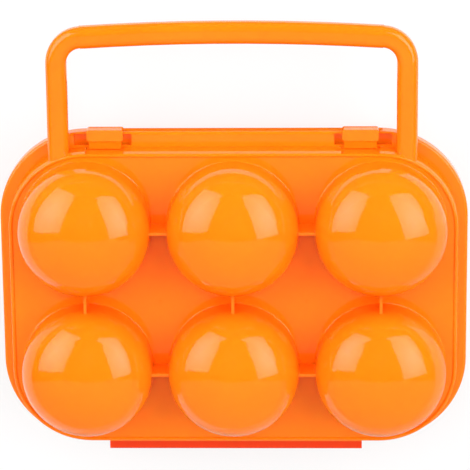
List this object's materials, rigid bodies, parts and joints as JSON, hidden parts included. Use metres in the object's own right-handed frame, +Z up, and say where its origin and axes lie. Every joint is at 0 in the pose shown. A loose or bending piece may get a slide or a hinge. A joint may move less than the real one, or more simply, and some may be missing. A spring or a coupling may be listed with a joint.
{
  "type": "egg carrying case",
  "caption": "Hinged carrying case for eggs: two moulded trays of domed cups that close on each other, with a bent bar handle and snap lugs on one long edge and a strap hinge on the other.",
  "frame": {"origin": "under the middle of the whole closed case, on the surface that its lower domes lie on", "axes": "+Z up out of the lid's domes, -Y towards the handle and the latches, +Y towards the strap hinge, X along the handle bar and the hinge"},
  "size_m": [0.19, 0.1832, 0.0744],
  "materials": {
    "case": "glossy, slightly translucent orange polypropylene with fine mould texture"
  },
  "bodies": {
    "base": {"base_tray": "case", "strap_fold": "case"},
    "lid": {"lid_tray": "case"}
  },
  "joints": [
    {"name": "lid_hinge", "type": "hinge", "parent": "base", "child": "lid", "pos_m": [0, 0.0907, 0.0372], "axis": [-1, 0, 0], "range_deg": [0, 180]}
  ]
}
